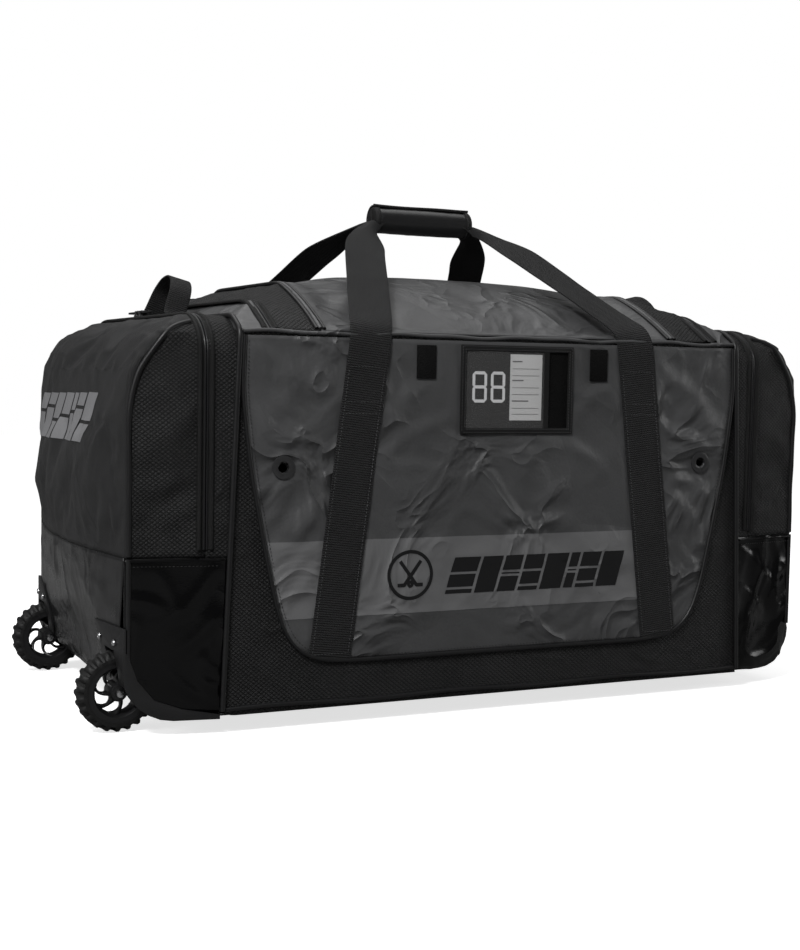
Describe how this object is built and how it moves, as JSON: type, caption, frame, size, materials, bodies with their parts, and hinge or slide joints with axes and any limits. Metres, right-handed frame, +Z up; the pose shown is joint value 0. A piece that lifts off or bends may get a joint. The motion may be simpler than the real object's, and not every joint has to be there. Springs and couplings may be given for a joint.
{
  "type": "hockey equipment bag",
  "caption": "Wheeled hockey equipment bag with a domed zip lid, fold-out end pockets, looped carry handle, grab loops and corner wheels.",
  "frame": {"origin": "on the ground under the middle of the whole object's box", "axes": "+X along the bag away from the wheels, -Y the front that carries the identity window, +Z up"},
  "size_m": [0.957, 0.49, 0.607],
  "materials": {
    "ripstop": "black diamond ripstop nylon",
    "base_fabric": "coated base fabric",
    "base_board": "stiff polyethylene board",
    "tarpaulin": "grey semi-gloss coated tarpaulin",
    "polyester": "plain woven polyester",
    "vinyl": "glossy black vinyl",
    "piping": "black vinyl piping",
    "zip_tape": "black zip tape and coil",
    "webbing": "ribbed webbing",
    "grip": "black grained leatherette",
    "moulding": "matte moulded plastic",
    "hub": "matte moulded plastic",
    "tyre": "matte rubber",
    "steel": "plated steel",
    "zinc": "black enamelled zinc",
    "pull_tab": "moulded rubber",
    "grommet": "black enamelled brass",
    "hook_tape": "hook-and-loop tape",
    "binding": "grosgrain binding",
    "clear_film": "clear vinyl film",
    "card": "white printed card"
  },
  "bodies": {
    "root": {"floor_panel": "base_fabric", "base_board": "base_board", "front_panel": "ripstop", "back_panel": "ripstop", "dividers": "ripstop", "side_rims": "tarpaulin", "back_rim": "tarpaulin", "front_tarp_panel": "tarpaulin", "seam_piping": "piping", "pocket_collars": "ripstop", "kick_panels": "vinyl", "left_end_base": "tarpaulin", "right_end_base": "tarpaulin", "front_wheel_bracket": "moulding", "back_wheel_bracket": "moulding", "bracket_rivets": "steel", "wheel_axles": "steel", "skid_rails": "moulding", "front_sewn_straps": "webbing", "back_sewn_straps": "webbing", "vent_grommets": "grommet", "hook_patches": "hook_tape", "id_window_frame": "binding", "id_window_film": "clear_film", "id_cards": "card", "rim_zip_tape": "zip_tape", "pocket_zip_tapes": "zip_tape", "grab_loop_feet": "webbing"},
    "lid": {"lid_dome": "tarpaulin", "left_lid_gusset": "ripstop", "right_lid_gusset": "ripstop", "lid_zip_edging": "zip_tape"},
    "front_handle": {"front_handle_loop": "webbing", "front_grip_half": "grip"},
    "back_handle": {"back_handle_loop": "webbing", "back_grip_half": "grip"},
    "left_door": {"left_end_panel": "polyester", "left_pocket_gusset": "ripstop", "left_pocket_edging": "piping"},
    "right_door": {"right_end_panel": "polyester", "right_pocket_gusset": "ripstop", "right_pocket_edging": "piping"},
    "front_wheel": {"front_wheel_tyre": "tyre", "front_wheel_hub": "hub"},
    "back_wheel": {"back_wheel_tyre": "tyre", "back_wheel_hub": "hub"},
    "left_loop": {"left_grab_loop": "webbing"},
    "right_loop": {"right_grab_loop": "webbing"},
    "lid_slider_left_body": {"lid_slider_left": "zinc"},
    "lid_slider_right_body": {"lid_slider_right": "zinc"},
    "left_slider_front_body": {"left_slider_front": "zinc"},
    "left_slider_back_body": {"left_slider_back": "zinc"},
    "right_slider_front_body": {"right_slider_front": "zinc"},
    "right_slider_back_body": {"right_slider_back": "zinc"},
    "lid_tab_left_body": {"lid_tab_left": "pull_tab"},
    "lid_tab_right_body": {"lid_tab_right": "pull_tab"},
    "left_tab_front_body": {"left_tab_front": "pull_tab"},
    "left_tab_back_body": {"left_tab_back": "pull_tab"},
    "right_tab_front_body": {"right_tab_front": "pull_tab"},
    "right_tab_back_body": {"right_tab_back": "pull_tab"}
  },
  "joints": [
    {"name": "lid_open", "type": "hinge", "parent": "root", "child": "lid", "pos_m": [0.0105, -0.241, 0.4395], "axis": [1, 0, 0], "range_deg": [0, 100]},
    {"name": "front_handle_drop", "type": "hinge", "parent": "root", "child": "front_handle", "pos_m": [0.0105, -0.244, 0.446], "axis": [1, 0, 0], "range_deg": [0, 215]},
    {"name": "back_handle_drop", "type": "hinge", "parent": "root", "child": "back_handle", "pos_m": [0.0105, 0.244, 0.446], "axis": [-1, 0, 0], "range_deg": [0, 215]},
    {"name": "left_door_open", "type": "hinge", "parent": "root", "child": "left_door", "pos_m": [-0.4585, 0, 0.193], "axis": [0, -1, 0], "range_deg": [0, 110]},
    {"name": "right_door_open", "type": "hinge", "parent": "root", "child": "right_door", "pos_m": [0.4795, 0, 0.193], "axis": [0, 1, 0], "range_deg": [0, 110]},
    {"name": "front_wheel_spin", "type": "hinge", "parent": "root", "child": "front_wheel", "pos_m": [-0.4345, -0.1785, 0.044], "axis": [0, 1, 0], "continuous": true},
    {"name": "back_wheel_spin", "type": "hinge", "parent": "root", "child": "back_wheel", "pos_m": [-0.4345, 0.1785, 0.044], "axis": [0, 1, 0], "continuous": true},
    {"name": "left_loop_flop", "type": "hinge", "parent": "root", "child": "left_loop", "pos_m": [-0.333, 0, 0.46], "axis": [0, 1, 0], "range_deg": [-20, 35], "stiffness_Nm_per_rad": 0.02},
    {"name": "right_loop_flop", "type": "hinge", "parent": "root", "child": "right_loop", "pos_m": [0.354, 0, 0.46], "axis": [0, -1, 0], "range_deg": [-20, 35], "stiffness_Nm_per_rad": 0.02},
    {"name": "lid_slider_left_run", "type": "slide", "parent": "lid", "child": "lid_slider_left_body", "axis": [-1, 0, 0], "range_m": [0, 0.165]},
    {"name": "lid_slider_right_run", "type": "slide", "parent": "lid", "child": "lid_slider_right_body", "axis": [1, 0, 0], "range_m": [0, 0.165]},
    {"name": "lid_tab_left_swing", "type": "hinge", "parent": "lid_slider_left_body", "child": "lid_tab_left_body", "pos_m": [0.0015, 0.15291, 0.49116], "axis": [0, 0.9315, -0.3639], "range_deg": [0, 85]},
    {"name": "lid_tab_right_swing", "type": "hinge", "parent": "lid_slider_right_body", "child": "lid_tab_right_body", "pos_m": [0.0195, 0.15291, 0.49116], "axis": [0, -0.9315, 0.3639], "range_deg": [0, 85]},
    {"name": "left_slider_front_run", "type": "slide", "parent": "left_door", "child": "left_slider_front_body", "axis": [0, -1, 0], "range_m": [0, 0.155]},
    {"name": "left_tab_front_swing", "type": "hinge", "parent": "left_slider_front_body", "child": "left_tab_front_body", "pos_m": [-0.3515, 0.021, 0.463], "axis": [-1, 0, 0], "range_deg": [0, 85]},
    {"name": "left_slider_back_run", "type": "slide", "parent": "left_door", "child": "left_slider_back_body", "axis": [0, 1, 0], "range_m": [0, 0.095]},
    {"name": "left_tab_back_swing", "type": "hinge", "parent": "left_slider_back_body", "child": "left_tab_back_body", "pos_m": [-0.3515, 0.039, 0.463], "axis": [1, 0, 0], "range_deg": [0, 85]},
    {"name": "right_slider_front_run", "type": "slide", "parent": "right_door", "child": "right_slider_front_body", "axis": [0, -1, 0], "range_m": [0, 0.155]},
    {"name": "right_tab_front_swing", "type": "hinge", "parent": "right_slider_front_body", "child": "right_tab_front_body", "pos_m": [0.3725, 0.021, 0.463], "axis": [-1, 0, 0], "range_deg": [0, 85]},
    {"name": "right_slider_back_run", "type": "slide", "parent": "right_door", "child": "right_slider_back_body", "axis": [0, 1, 0], "range_m": [0, 0.095]},
    {"name": "right_tab_back_swing", "type": "hinge", "parent": "right_slider_back_body", "child": "right_tab_back_body", "pos_m": [0.3725, 0.039, 0.463], "axis": [1, 0, 0], "range_deg": [0, 85]}
  ],
  "couplings": [
    {"joint": "front_handle_drop", "follows": "lid_open", "ratio": 2.15},
    {"joint": "back_handle_drop", "follows": "lid_open", "ratio": 2.15}
  ]
}
